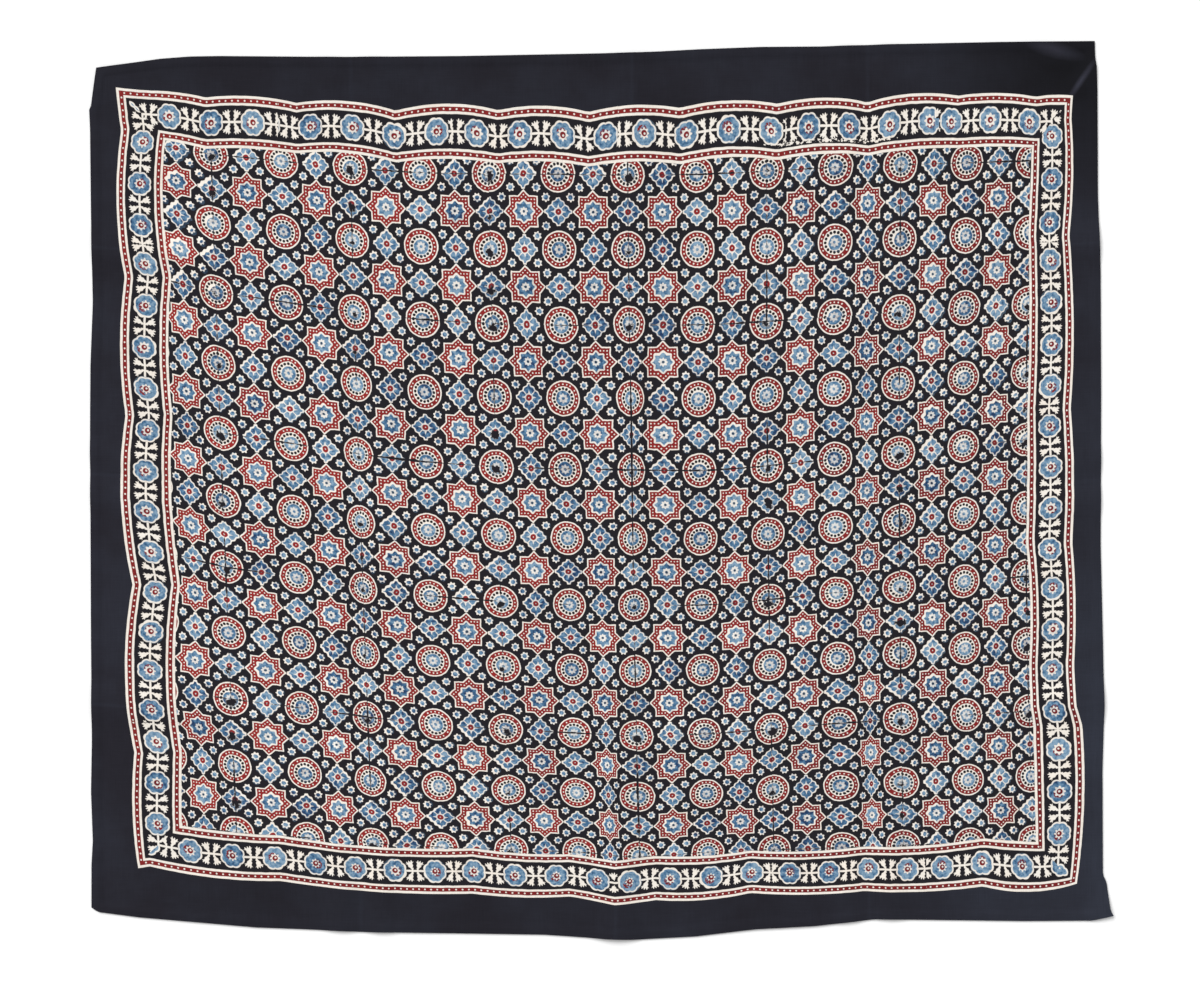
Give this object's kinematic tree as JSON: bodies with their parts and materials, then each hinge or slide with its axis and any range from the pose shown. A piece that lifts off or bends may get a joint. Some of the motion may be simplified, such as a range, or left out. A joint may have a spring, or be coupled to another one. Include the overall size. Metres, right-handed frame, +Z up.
{
  "type": "block-printed ajrakh cloth",
  "caption": "Flat block-printed cotton cloth with a star and circle field, a flower border and a plain dark margin.",
  "frame": {"origin": "middle of the cloth's outer length and width, at the surface that it lies on", "axes": "+X along the long side, +Y towards the top edge, +Z up out of the printed face"},
  "size_m": [1.1258, 0.988, 0.007],
  "materials": {
    "printed_cotton": "matt plain-woven cotton, resist and mordant block printed in white, madder red and indigo on a black ground"
  },
  "bodies": {
    "root": {"ajrakh_cloth": "printed_cotton"}
  },
  "joints": []
}
